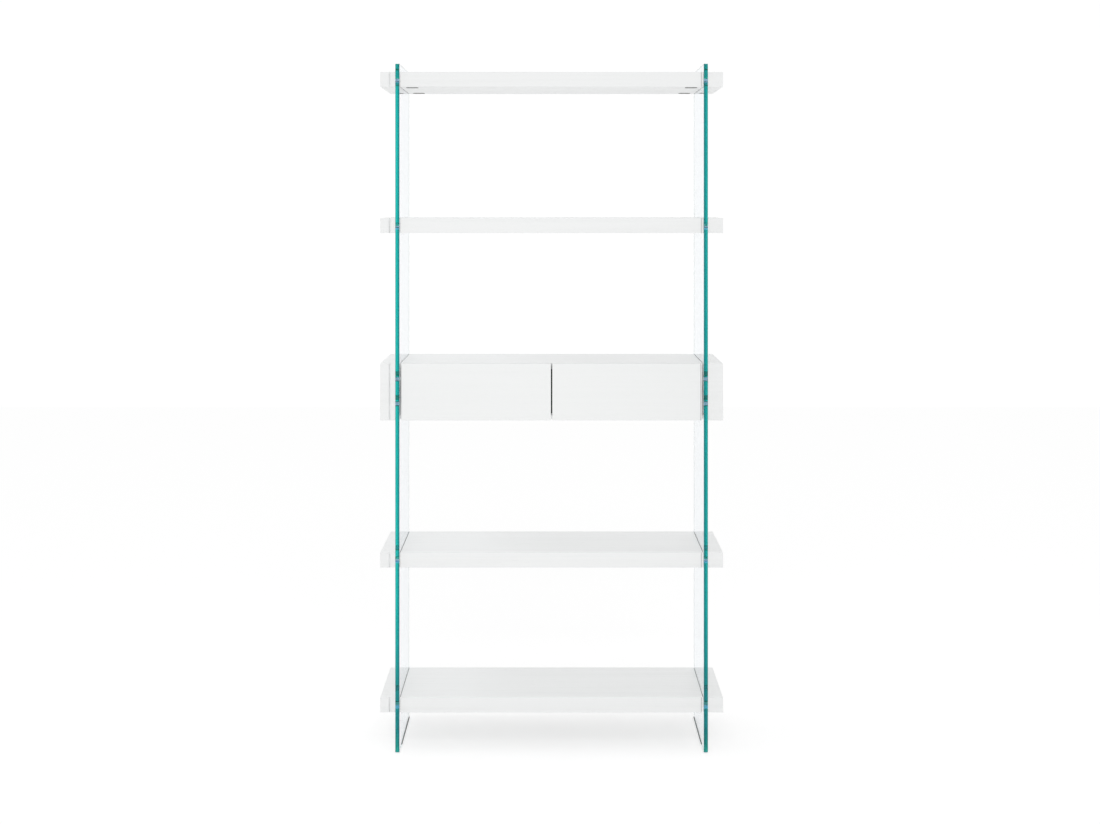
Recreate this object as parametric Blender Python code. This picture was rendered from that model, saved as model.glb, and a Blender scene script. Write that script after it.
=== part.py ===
"""A free-standing bookcase: four shelves and a drawer unit hung between two full-height glass sides.

Metres, +Z up, the front faces -Y. The origin lies on the floor under the middle of the bookcase.
Every shelf is clamped through holes in the glass: a bolt runs from a pocket under the shelf, through
the glass, into a short end block outside it. The two drawers run on three-part telescopic runners.
"""
import math

import bmesh
import bpy
from mathutils import Matrix, Vector

# The stack, from the floor up
FLOOR_GAP = 0.111
SHELF_THICKNESS = 0.044
CABINET_HEIGHT = 0.166
LOWEST_BAY_HEIGHT = 0.378
BAY_UNDER_DRAWERS_HEIGHT = 0.385
BAY_OVER_DRAWERS_HEIGHT = 0.380
HIGHEST_BAY_HEIGHT = 0.382
GLASS_ABOVE_TOP_SHELF = 0.022

# The plan
BAY_WIDTH = 0.883
SHELF_DEPTH = 0.350
OVERHANG = 0.0465
GLASS_THICKNESS = 0.012
GLASS_PROUD = 0.025

# Fits and edges
CLEARANCE = 0.0003
CUT_OVERRUN = 0.005
WOOD_ARRIS = 0.001
GLASS_ARRIS = 0.001
GLASS_CORNER_RADIUS = 0.005
STRAIGHT_SHARE = 0.999

# The bolts that clamp the shelves to the glass
BOLT_RADIUS = 0.004
BOLT_PLAY = 0.0005
BOLT_SETBACK = 0.040
BOLT_EMBEDMENT = 0.030
BOLT_TAIL = 0.002
GLASS_HOLE_RADIUS = 0.0075
WASHER_RADIUS = 0.009
WASHER_THICKNESS = 0.0016
NUT_CORNER_RADIUS = 0.0075
NUT_HEIGHT = 0.0065
BOLT_SIDES = 12
HOLE_SIDES = 16

# The spanner pockets under the shelves
POCKET_WALL = 0.014
POCKET_LENGTH = 0.036
POCKET_WIDTH = 0.036
POCKET_HEADROOM = 0.001
POCKET_CORNER_RADIUS = 0.008

# The drawer unit
CABINET_PANEL = 0.018
BOLT_TO_RAIL = 0.0045
GRIP_BEVEL_SHARE = 0.6

# The drawers
FRONT_THICKNESS = 0.020
FRONT_STANDOFF = 0.002
FRONT_SIDE_REVEAL = 0.0035
FRONT_MIDDLE_GAP = 0.004
DRAWER_HEADROOM = 0.012
DRAWER_BACK_SPACE = 0.012
DRAWER_WALL = 0.015
DRAWER_BOTTOM = 0.008
DRAWER_FIELD_RISE = 0.002
GROOVE_DEPTH = 0.007
GROOVE_RISE = 0.010

# The runners: outer rail on the cabinet, middle rail, and inner rail on the drawer
RUNNER_SPACE = 0.013
RUNNER_INSET = 0.002
RAIL_HEIGHT = 0.045
RAIL_SHEET = 0.0012
RAIL_FIT = 0.0004
RAIL_LIP = 0.004
RAIL_LIP_GAP = 0.0011
RAIL_WEB_GAP = 0.0012
BEAD_STEPS = 6

# Places worked out from the sizes above
GLASS_DEPTH = GLASS_PROUD + SHELF_DEPTH
GLASS_FRONT = -GLASS_DEPTH / 2
BACK = GLASS_DEPTH / 2
SHELF_FRONT = GLASS_FRONT + GLASS_PROUD
SHELF_MIDDLE = (SHELF_FRONT + BACK) / 2
GLASS_INNER = BAY_WIDTH / 2
GLASS_OUTER = GLASS_INNER + GLASS_THICKNESS
BOTTOM_SHELF_BASE = FLOOR_GAP
LOWER_SHELF_BASE = BOTTOM_SHELF_BASE + SHELF_THICKNESS + LOWEST_BAY_HEIGHT
CABINET_BASE = LOWER_SHELF_BASE + SHELF_THICKNESS + BAY_UNDER_DRAWERS_HEIGHT
UPPER_SHELF_BASE = CABINET_BASE + CABINET_HEIGHT + BAY_OVER_DRAWERS_HEIGHT
TOP_SHELF_BASE = UPPER_SHELF_BASE + SHELF_THICKNESS + HIGHEST_BAY_HEIGHT
GLASS_HEIGHT = TOP_SHELF_BASE + SHELF_THICKNESS + GLASS_ABOVE_TOP_SHELF
CABINET_MIDDLE = CABINET_BASE + CABINET_HEIGHT / 2
SHELF_BASES = {
    "bottom_shelf": BOTTOM_SHELF_BASE,
    "lower_shelf": LOWER_SHELF_BASE,
    "upper_shelf": UPPER_SHELF_BASE,
    "top_shelf": TOP_SHELF_BASE,
}
BOLT_ROWS = {"front": SHELF_FRONT + BOLT_SETBACK, "back": BACK - BOLT_SETBACK}
SIDES = {"left": -1, "right": 1}

CARCASS_FRONT = SHELF_FRONT + FRONT_THICKNESS + FRONT_STANDOFF
CARCASS_HALF_WIDTH = GLASS_INNER - CLEARANCE
CARCASS_PANEL_BACK = BACK - CABINET_PANEL
COMPARTMENT_WIDTH = CARCASS_HALF_WIDTH - CABINET_PANEL - CABINET_PANEL / 2
COMPARTMENT_CENTRE = (CABINET_PANEL + COMPARTMENT_WIDTH) / 2
DRAWER_BOX_WIDTH = COMPARTMENT_WIDTH - 2 * RUNNER_SPACE
FRONT_BACK_FACE = SHELF_FRONT + FRONT_THICKNESS
DRAWER_BOX_HEIGHT = CABINET_HEIGHT - 2 * (CABINET_PANEL + DRAWER_HEADROOM)
DRAWER_BOX_FRONT = FRONT_BACK_FACE + CLEARANCE
DRAWER_BOX_LENGTH = CARCASS_PANEL_BACK - DRAWER_BACK_SPACE - DRAWER_BOX_FRONT
RUNNER_LENGTH = DRAWER_BOX_LENGTH - 2 * RUNNER_INSET
POCKET_DEPTH = SHELF_THICKNESS / 2 + WASHER_RADIUS + POCKET_HEADROOM
BOLT_BORE_RADIUS = BOLT_RADIUS + BOLT_PLAY
CABINET_BOLT_RISE = RAIL_HEIGHT / 2 + BOLT_TO_RAIL + WASHER_RADIUS


def clear_scene():
    for obj in list(bpy.data.objects):
        bpy.data.objects.remove(obj, do_unlink=True)


def make_material(name, colour, roughness, metallic=0.0):
    material = bpy.data.materials.new(name)
    material.use_nodes = True
    shader = material.node_tree.nodes["Principled BSDF"]
    shader.inputs["Base Color"].default_value = (*colour, 1.0)
    shader.inputs["Roughness"].default_value = roughness
    shader.inputs["Metallic"].default_value = metallic
    material.diffuse_color = (*colour, 1.0)
    return material


def add_object(name, bm, material, location, parent=None):
    """Makes an object of bm at a place given in world coordinates."""
    bmesh.ops.recalc_face_normals(bm, faces=bm.faces)
    mesh = bpy.data.meshes.new(name)
    bm.to_mesh(mesh)
    bm.free()
    if material:
        mesh.materials.append(material)
    obj = bpy.data.objects.new(name, mesh)
    bpy.context.collection.objects.link(obj)
    obj.parent = parent
    obj.location = Vector(location) - (parent.location if parent else Vector())
    return obj


def add_empty(name, location):
    empty = bpy.data.objects.new(name, None)
    empty.location = location
    bpy.context.collection.objects.link(empty)
    return empty


def shade_round(obj):
    obj.data.shade_smooth()
    obj.data.set_sharp_from_angle(angle=math.radians(35))


def bevel(bm, edges, width, segments=1):
    bmesh.ops.bevel(bm, geom=edges, offset=width, segments=segments, affect="EDGES", profile=0.5)


def block(size, arris=0.0):
    """A box centred on the origin, with a small chamfer along its edges."""
    bm = bmesh.new()
    bmesh.ops.create_cube(bm, size=1)
    bmesh.ops.scale(bm, vec=size, verts=bm.verts)
    if arris:
        bevel(bm, bm.edges, arris)
    return bm


def edges_along(bm, axis):
    """The edges that run along an axis, numbered 0 to 2."""
    ways = {edge: (edge.verts[1].co - edge.verts[0].co).normalized() for edge in bm.edges}
    return [edge for edge, way in ways.items() if abs(way[axis]) > STRAIGHT_SHARE]


def prism(outline, run):
    """Extrudes a closed outline of points along the vector run."""
    bm = bmesh.new()
    face = bm.faces.new([bm.verts.new(point) for point in outline])
    result = bmesh.ops.extrude_face_region(bm, geom=[face])
    moved = [item for item in result["geom"] if isinstance(item, bmesh.types.BMVert)]
    bmesh.ops.translate(bm, vec=run, verts=moved)
    return bm


def add_cylinder(bm, centre, radius, length):
    """Adds a round bar along X to bm."""
    turn = Matrix.Translation(centre) @ Matrix.Rotation(math.radians(90), 4, "Y")
    bmesh.ops.create_cone(
        bm, cap_ends=True, segments=HOLE_SIDES, radius1=radius, radius2=radius, depth=length, matrix=turn
    )


def add_boolean(target, operation, tool):
    modifier = target.modifiers.new(operation.title(), "BOOLEAN")
    modifier.operation = operation
    modifier.solver = "EXACT"
    modifier.object = tool
    tool.hide_render = True
    tool.display_type = "WIRE"


def drill(target, centres, radius, length):
    """Drills round holes along X, at centres given in world coordinates."""
    bm = bmesh.new()
    for centre in centres:
        add_cylinder(bm, centre, radius, length)
    add_boolean(target, "DIFFERENCE", add_object(f"{target.name}_drill", bm, None, (0, 0, 0)))


def add_bolt(bm, origin, side, grip):
    """Adds a clamping bolt along X, in one body with its glass sleeve, washer and nut.

    origin lies on its axis at the inner face of the glass. side is 1 for the right-hand glass and -1
    for the left-hand one. grip is the thickness that it clamps between the glass and the washer.
    """
    washer = CLEARANCE + grip + CLEARANCE
    nut = washer + WASHER_THICKNESS
    tail = nut + NUT_HEIGHT
    sleeve = GLASS_HOLE_RADIUS - CLEARANCE
    embedded = -(GLASS_THICKNESS + CLEARANCE + BOLT_EMBEDMENT)
    # Each ring is a place along the bolt, a radius and whether it is a hexagon
    rings = (
        (embedded, BOLT_RADIUS, False),
        (-GLASS_THICKNESS, BOLT_RADIUS, False),
        (-GLASS_THICKNESS, sleeve, False),
        (0, sleeve, False),
        (0, BOLT_RADIUS, False),
        (washer, BOLT_RADIUS, False),
        (washer, WASHER_RADIUS, False),
        (nut, WASHER_RADIUS, False),
        (nut, NUT_CORNER_RADIUS, True),
        (tail, NUT_CORNER_RADIUS, True),
        (tail, BOLT_RADIUS, False),
        (tail + BOLT_TAIL, BOLT_RADIUS, False),
    )
    flat_share = math.cos(math.pi / 6)
    loops = []
    for along, radius, hexagon in rings:
        loop = []
        for i in range(BOLT_SIDES):
            angle = 2 * math.pi * i / BOLT_SIDES
            reach = radius * flat_share if hexagon and i % 2 else radius
            spot = Vector((-side * along, reach * math.cos(angle), reach * math.sin(angle)))
            loop.append(bm.verts.new(origin + spot))
        loops.append(loop)
    for first, second in zip(loops, loops[1:]):
        for i in range(BOLT_SIDES):
            j = (i + 1) % BOLT_SIDES
            bm.faces.new((first[i], first[j], second[j], second[i]))
    bm.faces.new(loops[0])
    bm.faces.new(loops[-1])


def bolt_spots(heights):
    """The bolts' places on one glass, as (row name, y, z)."""
    return [(row, y, z) for z in heights for row, y in BOLT_ROWS.items()]


def cabinet_bolt_heights():
    return (CABINET_MIDDLE - CABINET_BOLT_RISE, CABINET_MIDDLE + CABINET_BOLT_RISE)


def make_glass(side_name, side, material):
    """A full-height pane with rounded corners, polished edges and a hole for each bolt."""
    bm = block((GLASS_THICKNESS, GLASS_DEPTH, GLASS_HEIGHT))
    bevel(bm, edges_along(bm, 0), GLASS_CORNER_RADIUS, segments=4)
    across = edges_along(bm, 0)
    bevel(bm, [edge for edge in bm.edges if edge not in across], GLASS_ARRIS)
    middle = side * (GLASS_INNER + GLASS_THICKNESS / 2)
    pane = add_object(f"glass_panel_{side_name}", bm, material, (middle, 0, GLASS_HEIGHT / 2))
    heights = [base + SHELF_THICKNESS / 2 for base in SHELF_BASES.values()]
    spots = bolt_spots([*heights, *cabinet_bolt_heights()])
    centres = [(middle, y, z) for _, y, z in spots]
    drill(pane, centres, GLASS_HOLE_RADIUS, GLASS_THICKNESS + CUT_OVERRUN)


def make_end_block(name, side, base, height, material):
    """The part of a shelf outside the glass. It isn't drilled yet."""
    length = OVERHANG - CLEARANCE
    middle = side * (GLASS_OUTER + CLEARANCE + length / 2)
    bm = block((length, SHELF_DEPTH, height), WOOD_ARRIS)
    return add_object(name, bm, material, (middle, SHELF_MIDDLE, base + height / 2))


def make_shelf_board(name, base, material):
    """The board between the panes, with four spanner pockets underneath and a bore from each to its end."""
    half = GLASS_INNER - CLEARANCE
    axis_height = base + SHELF_THICKNESS / 2
    bm = block((2 * half, SHELF_DEPTH, SHELF_THICKNESS), WOOD_ARRIS)
    board = add_object(name, bm, material, (0, SHELF_MIDDLE, axis_height))
    bores = []
    for side_name, side in SIDES.items():
        pocket_x = side * (half - POCKET_WALL - POCKET_LENGTH / 2)
        for row, y, z in bolt_spots([axis_height]):
            bm = block((POCKET_LENGTH, POCKET_WIDTH, POCKET_DEPTH + CUT_OVERRUN))
            bevel(bm, edges_along(bm, 2), POCKET_CORNER_RADIUS, segments=4)
            place = (pocket_x, y, base + (POCKET_DEPTH - CUT_OVERRUN) / 2)
            pocket = add_object(f"{name}_pocket_{side_name}_{row}", bm, None, place)
            add_boolean(board, "DIFFERENCE", pocket)
            bores.append((side * (half - POCKET_WALL / 2), y, z))
    drill(board, bores, BOLT_BORE_RADIUS, POCKET_WALL + 2 * CUT_OVERRUN)


def make_shelf(name, base, wood, steel):
    make_shelf_board(f"{name}_board", base, wood)
    axis_height = base + SHELF_THICKNESS / 2
    depth = BOLT_EMBEDMENT + CLEARANCE
    for side_name, side in SIDES.items():
        end = make_end_block(f"{name}_end_{side_name}", side, base, SHELF_THICKNESS, wood)
        centres = [(side * GLASS_OUTER, y, z) for _, y, z in bolt_spots([axis_height])]
        drill(end, centres, BOLT_BORE_RADIUS, 2 * (CLEARANCE + depth))
        for row, y, z in bolt_spots([axis_height]):
            origin = (side * GLASS_INNER, y, z)
            bm = bmesh.new()
            add_bolt(bm, Vector(), side, POCKET_WALL)
            shade_round(add_object(f"{name}_bolt_{side_name}_{row}", bm, steel, origin))


def make_cabinet_ends(wood):
    """The drawer unit's end blocks. Each is one body with the four bolts that it carries."""
    for side_name, side in SIDES.items():
        name = f"cabinet_end_{side_name}"
        end = make_end_block(name, side, CABINET_BASE, CABINET_HEIGHT, wood)
        bm = bmesh.new()
        for _, y, z in bolt_spots(cabinet_bolt_heights()):
            add_bolt(bm, Vector((side * GLASS_INNER, y, z)), side, CABINET_PANEL)
        add_boolean(end, "UNION", add_object(f"{name}_bolts", bm, None, (0, 0, 0)))


def grip_panel(width, depth, height, bevelled_corner):
    """A panel from its lower front left corner, with one lower edge bevelled for the fingers."""
    grip = GRIP_BEVEL_SHARE * min(depth, height)
    outline = {
        "front": [(0, grip), (grip, 0), (depth, 0), (depth, height), (0, height)],
        "back": [(0, 0), (depth - grip, 0), (depth, grip), (depth, height), (0, height)],
    }[bevelled_corner]
    bm = prism([(0, y, z) for y, z in outline], (width, 0, 0))
    bevel(bm, bm.edges, WOOD_ARRIS)
    return bm


def make_carcass(wood):
    """The box that holds the drawers: two full-width panels, and between them sides, divider and back."""
    width = 2 * CARCASS_HALF_WIDTH
    depth = BACK - CARCASS_FRONT
    top_z = CABINET_BASE + CABINET_HEIGHT - CABINET_PANEL / 2
    bm = block((width, depth, CABINET_PANEL), WOOD_ARRIS)
    add_object("cabinet_top", bm, wood, (0, CARCASS_FRONT + depth / 2, top_z))
    bm = grip_panel(width, depth, CABINET_PANEL, "front")
    add_object("cabinet_bottom", bm, wood, (-CARCASS_HALF_WIDTH, CARCASS_FRONT, CABINET_BASE))

    height = CABINET_HEIGHT - 2 * (CABINET_PANEL + CLEARANCE)
    bm = block((width, CABINET_PANEL, height), WOOD_ARRIS)
    add_object("cabinet_back", bm, wood, (0, CARCASS_PANEL_BACK + CABINET_PANEL / 2, CABINET_MIDDLE))

    length = CARCASS_PANEL_BACK - CLEARANCE - CARCASS_FRONT
    upright_y = CARCASS_FRONT + length / 2
    bm = block((CABINET_PANEL, length, height), WOOD_ARRIS)
    add_object("cabinet_divider", bm, wood, (0, upright_y, CABINET_MIDDLE))
    for side_name, side in SIDES.items():
        x = side * (CARCASS_HALF_WIDTH - CABINET_PANEL / 2)
        bm = block((CABINET_PANEL, length, height), WOOD_ARRIS)
        panel = add_object(f"cabinet_side_{side_name}", bm, wood, (x, upright_y, CABINET_MIDDLE))
        centres = [(x, y, z) for _, y, z in bolt_spots(cabinet_bolt_heights())]
        drill(panel, centres, BOLT_BORE_RADIUS, CABINET_PANEL + CUT_OVERRUN)


def bead(start, end, base, crown):
    """A rounded bead on a flange, from start to end across it. Points are (u, v)."""
    centre, half_width = (start + end) / 2, (end - start) / 2
    turns = [math.pi * i / BEAD_STEPS for i in range(BEAD_STEPS + 1)]
    return [(centre - half_width * math.cos(a), base + (crown - base) * math.sin(a)) for a in turns]


def rail_half_outlines():
    """The upper half of each rail's section. u runs from the cabinet towards the drawer, v upwards.

    The middle rail's bead runs in the outer rail's channel, and the inner rail's bead in the middle
    rail's. Each channel has a lip that holds the bead in.
    """
    t = RAIL_SHEET
    width = RUNNER_SPACE - 2 * CLEARANCE
    mouth = width - t - RAIL_WEB_GAP
    lip = mouth - t
    bead_end = lip - RAIL_FIT
    outer_top = RAIL_HEIGHT / 2
    middle_top = outer_top - RAIL_LIP - RAIL_LIP_GAP
    inner_top = middle_top - t - RAIL_LIP - RAIL_LIP_GAP
    web = 2 * t + RAIL_FIT
    outer = [
        (0, outer_top),
        (mouth, outer_top),
        (mouth, outer_top - RAIL_LIP),
        (lip, outer_top - RAIL_LIP),
        (lip, outer_top - t),
        (t, outer_top - t),
    ]
    middle = [
        (web, middle_top),
        *bead(web + RAIL_FIT, bead_end, middle_top, outer_top - t - RAIL_FIT),
        (mouth, middle_top),
        (mouth, middle_top - t - RAIL_LIP),
        (lip, middle_top - t - RAIL_LIP),
        (lip, middle_top - t),
        (web + t, middle_top - t),
    ]
    inner = [
        (width, inner_top),
        *bead(bead_end, web + t + RAIL_FIT, inner_top, middle_top - t - RAIL_FIT),
        (web + t + RAIL_FIT, inner_top - t),
        (width - t, inner_top - t),
    ]
    return {"outer_rail": outer, "middle_rail": middle, "inner_rail": inner}


def make_rail(name, half_outline, panel_x, away, middle_y, parent, steel):
    """Extrudes a rail. panel_x is the cabinet face that the runner hangs on, away its way to the drawer."""
    outline = half_outline + [(u, -v) for u, v in reversed(half_outline)]
    points = [(away * (CLEARANCE + u), -RUNNER_LENGTH / 2, v) for u, v in outline]
    bm = prism(points, (0, RUNNER_LENGTH, 0))
    shade_round(add_object(name, bm, steel, (panel_x, middle_y, CABINET_MIDDLE), parent))


def make_runners(drawer, centre_x, carriage, slides, steel):
    outlines = rail_half_outlines()
    parents = {"outer_rail": None, "middle_rail": slides, "inner_rail": carriage}
    middle_y = DRAWER_BOX_FRONT + RUNNER_INSET + RUNNER_LENGTH / 2
    for side_name, side in SIDES.items():
        panel_x = centre_x + side * COMPARTMENT_WIDTH / 2
        for rail, half_outline in outlines.items():
            name = f"{drawer}_{rail}_{side_name}"
            make_rail(name, half_outline, panel_x, -side, middle_y, parents[rail], steel)


def make_drawer_front(drawer, side, carriage, lacquer):
    """The front hides the carcass edges. Its lower back edge is bevelled for the fingers."""
    width = GLASS_INNER - FRONT_SIDE_REVEAL - FRONT_MIDDLE_GAP / 2
    left = FRONT_MIDDLE_GAP / 2 if side > 0 else -FRONT_MIDDLE_GAP / 2 - width
    bm = grip_panel(width, FRONT_THICKNESS, CABINET_HEIGHT, "back")
    return add_object(f"{drawer}_front", bm, lacquer, (left, SHELF_FRONT, CABINET_BASE), carriage)


def make_drawer(drawer, side, wood, lacquer, plywood, steel):
    """A drawer: front, grooved sides, and a bottom whose edges lie in the grooves and under the back."""
    centre_x = side * COMPARTMENT_CENTRE
    carriage = add_empty(drawer, (centre_x, FRONT_BACK_FACE, CABINET_MIDDLE))
    slides = add_empty(f"{drawer}_slides", (centre_x, FRONT_BACK_FACE, CABINET_MIDDLE))
    front = make_drawer_front(drawer, side, carriage, lacquer)

    box_middle = DRAWER_BOX_FRONT + DRAWER_BOX_LENGTH / 2
    box_back = DRAWER_BOX_FRONT + DRAWER_BOX_LENGTH
    bottom_z = CABINET_MIDDLE - DRAWER_BOX_HEIGHT / 2 + GROOVE_RISE + DRAWER_BOTTOM / 2
    inside = DRAWER_BOX_WIDTH - 2 * DRAWER_WALL
    groove = (
        inside + 2 * GROOVE_DEPTH,
        GROOVE_DEPTH + DRAWER_BOX_LENGTH + 2 * CUT_OVERRUN,
        DRAWER_BOTTOM + 2 * CLEARANCE,
    )
    groove_front = FRONT_BACK_FACE - GROOVE_DEPTH
    groove_place = (centre_x, groove_front + groove[1] / 2, bottom_z)
    groove_cutter = add_object(f"{drawer}_groove", block(groove), None, groove_place)
    add_boolean(front, "DIFFERENCE", groove_cutter)

    for side_name, way in SIDES.items():
        x = centre_x + way * (DRAWER_BOX_WIDTH - DRAWER_WALL) / 2
        bm = block((DRAWER_WALL, DRAWER_BOX_LENGTH, DRAWER_BOX_HEIGHT), WOOD_ARRIS)
        name = f"{drawer}_side_{side_name}"
        wall = add_object(name, bm, wood, (x, box_middle, CABINET_MIDDLE), carriage)
        add_boolean(wall, "DIFFERENCE", groove_cutter)

    bottom_front = groove_front + CLEARANCE
    bottom_length = box_back - bottom_front
    bm = block((groove[0] - 2 * CLEARANCE, bottom_length, DRAWER_BOTTOM))
    place = (centre_x, bottom_front + bottom_length / 2, bottom_z)
    bottom = add_object(f"{drawer}_bottom", bm, plywood, place, carriage)

    field = (
        inside - 2 * CLEARANCE,
        DRAWER_BOX_LENGTH - DRAWER_WALL - CLEARANCE,
        DRAWER_BOTTOM / 2 + DRAWER_FIELD_RISE,
    )
    place = (centre_x, DRAWER_BOX_FRONT + field[1] / 2, bottom_z + field[2] / 2)
    add_boolean(bottom, "UNION", add_object(f"{drawer}_field", block(field), None, place))

    back_base = bottom_z + DRAWER_BOTTOM / 2 + CLEARANCE
    back_height = CABINET_MIDDLE + DRAWER_BOX_HEIGHT / 2 - back_base
    bm = block((inside - 2 * CLEARANCE, DRAWER_WALL, back_height), WOOD_ARRIS)
    back_y = box_back - DRAWER_WALL / 2
    add_object(f"{drawer}_back", bm, wood, (centre_x, back_y, back_base + back_height / 2), carriage)
    make_runners(drawer, centre_x, carriage, slides, steel)


def main():
    clear_scene()
    glass = make_material("clear_glass", (0.30, 0.66, 0.62), 0.05)
    wood = make_material("white_veneer", (0.86, 0.87, 0.87), 0.50)
    lacquer = make_material("white_front", (0.88, 0.89, 0.89), 0.45)
    plywood = make_material("pale_board", (0.80, 0.79, 0.75), 0.60)
    zinc = make_material("zinc_steel", (0.62, 0.63, 0.65), 0.35, 1.0)
    for side_name, side in SIDES.items():
        make_glass(side_name, side, glass)
    for name, base in SHELF_BASES.items():
        make_shelf(name, base, wood, zinc)
    make_cabinet_ends(wood)
    make_carcass(wood)
    for side_name, side in SIDES.items():
        make_drawer(f"{side_name}_drawer", side, wood, lacquer, plywood, zinc)


main()
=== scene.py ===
import math

import bmesh
import bpy
from mathutils import Euler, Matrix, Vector


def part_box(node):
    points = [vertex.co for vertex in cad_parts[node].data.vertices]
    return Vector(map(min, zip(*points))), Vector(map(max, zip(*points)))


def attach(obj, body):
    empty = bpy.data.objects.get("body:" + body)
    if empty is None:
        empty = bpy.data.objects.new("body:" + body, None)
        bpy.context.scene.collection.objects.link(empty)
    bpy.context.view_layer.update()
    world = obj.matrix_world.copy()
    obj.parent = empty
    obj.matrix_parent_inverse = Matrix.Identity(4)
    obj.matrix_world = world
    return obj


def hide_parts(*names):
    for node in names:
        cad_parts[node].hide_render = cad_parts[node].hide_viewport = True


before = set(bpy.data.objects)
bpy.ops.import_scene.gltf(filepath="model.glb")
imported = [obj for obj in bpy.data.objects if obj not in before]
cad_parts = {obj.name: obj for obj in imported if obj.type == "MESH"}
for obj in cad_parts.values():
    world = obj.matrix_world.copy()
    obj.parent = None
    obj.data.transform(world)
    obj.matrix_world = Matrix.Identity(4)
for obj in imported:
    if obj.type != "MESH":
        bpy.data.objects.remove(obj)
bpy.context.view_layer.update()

SIDES = {"left": -1, "right": 1}

# The shelves from below, and how far under its front bolts each one's spot of painted light sits in
# the glass
SPOT_DROP = {
    "bottom_shelf": 0.0095,
    "lower_shelf": 0.006,
    "upper_shelf": 0.007,
    "top_shelf": 0.003,
}
SHELVES = tuple(SPOT_DROP)

# Sizes, in metres. Round parts are given by their radius.

SEAT = 0.0003  # play between a part and what it sits in
OVER = 0.01  # how far a cutter reaches past the piece
HAIR = 1e-4  # faces this close to a line are on it
SAME = 1e-5  # points this close to a level are on it
MERGED = 1e-6  # points this close together are one
STRAIGHT, MOSTLY = 0.999, 0.9  # how well a direction follows an axis

# Degrees up to which faces meet smoothly, and up to which they are one flat face
SMOOTH, SMOOTH_SMALL, FLAT = 40, 35, 1

# Eased edges
EASED = {
    "board": 0.0011,
    "panel": 0.0006,
    "unit_floor": 0.0008,
    "box": 0.0007,
    "front": 0.0012,
    "glass": 0.0008,
    "channel": 0.0003,
    "seal": 0.00015,
    "bushing": 0.0004,
    "washer": 0.0003,
    "nut": 0.0005,
    "screw": 0.0009,
}

# The glass, and the soft channel that it stands in
GLASS_CORNER = 0.005
HOLE = 0.0075
DRILL_LENGTH = 0.03
FOOT_WALL = 0.001
FOOT_HEIGHT = 0.003
FOOT_FRONT = 0.085  # from the pane's front edge to the channel
BACK_STEP = 0.001  # from the back to the end of channels and seals

# Seals and joint lines
SEAL = 0.0005
SEAL_DROP = 0.0004
SEAL_HEIGHT = 0.003
LIPPING = 0.008
END_LIPPING = 0.005
JOINT = 0.001
JOINT_REACH = 0.002
FRONT_JOINT = 0.0031  # from a drawer front's right end
SEAM = 0.0038
SEAM_DEEPENING = 1.7
CHEEK = 0.0188  # from the glass to the seam

# Clamping bolts
BOLT_SETBACK = 0.040
UNIT_BOLT_RISE = 0.036
UNIT_PANEL = 0.018
ROD = 0.004
BORE = 0.0045
THREAD_PITCH = 0.0007
THREAD_ROOT = 0.86  # as a share of the crest
BUSHING = 0.0072
WASHER = 0.009
WASHER_THICKNESS = 0.0016
NUT = 0.0075
NUT_HEIGHT = 0.0065
NUT_CORNER = 0.0011
EMBEDDED = 0.030  # in the end block
TAIL = 0.002  # past the nut

# Spanner pockets under the shelves
POCKET_WALL = 0.014
POCKET = 0.036
POCKET_DEPTH = 0.032
POCKET_ROUNDING = 0.008
POCKET_TO_BORE = 0.03  # from middle to middle
BORE_LENGTH = 0.05
SKIN = 0.002  # deeper than this is inside a board

# Drawer fronts
GRIP_SHARE = 0.6  # of a front's thickness, taken off for the fingers
SHADED_TOP_REACH = 0.0003

# Runners and their screws. Windows and slots have a length and a height.
RAIL_SHEET = 0.0012
WINDOW = (0.022, 0.0070)
WINDOWS_AT = (0.036, 0.110, 0.186, 0.260)
PUNCH = 0.0026
PUNCH_LENGTH = 0.04
PUNCHES_AT = (0.073, 0.148, 0.223)
SLOT = (0.013, 0.0045)
SLOT_ROUNDING = 0.49  # as a share of its height
SCREWS_AT = (0.030, 0.105, 0.240)
SCREW_HEAD = 0.0034
SCREW_HEIGHT = 0.0017
RECESS = (0.00045, 0.0019)  # half the width and half the length of an arm
RECESS_DEPTH = 0.0009
RECESS_CLEAR = 0.001

# Painted light in the green edges, where the lit sleeve of a front bolt shows through the glass
SPOT_RIM = (0.0045, 0.0065)  # from the middle, where a spot starts to fade and where it ends
SPOT_FRONT = (0.004, 0.010)  # the same from the pane's front edge
SPOT_LIFT = 0.0075  # the lift that the glass gives to what is seen in it, per metre below the eye
EYE_LEVEL = 1.6

glass_low, glass_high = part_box("glass_panel_right")
shelf_low, shelf_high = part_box("bottom_shelf_board")
unit_low, unit_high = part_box("cabinet_end_right")
GLASS_INNER, GLASS_OUTER = glass_low.x, glass_high.x
BOARD_END = GLASS_INNER - SEAT
BACK = shelf_high.y
BOLT_ROWS = {"front": shelf_low.y + BOLT_SETBACK, "back": BACK - BOLT_SETBACK}
UNIT_MIDDLE = (unit_low.z + unit_high.z) / 2
UNIT_BOLTS = (UNIT_MIDDLE - UNIT_BOLT_RISE, UNIT_MIDDLE + UNIT_BOLT_RISE)


def shelf_axis(shelf):
    low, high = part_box(f"{shelf}_board")
    return (low.z + high.z) / 2


# Finishes


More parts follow.
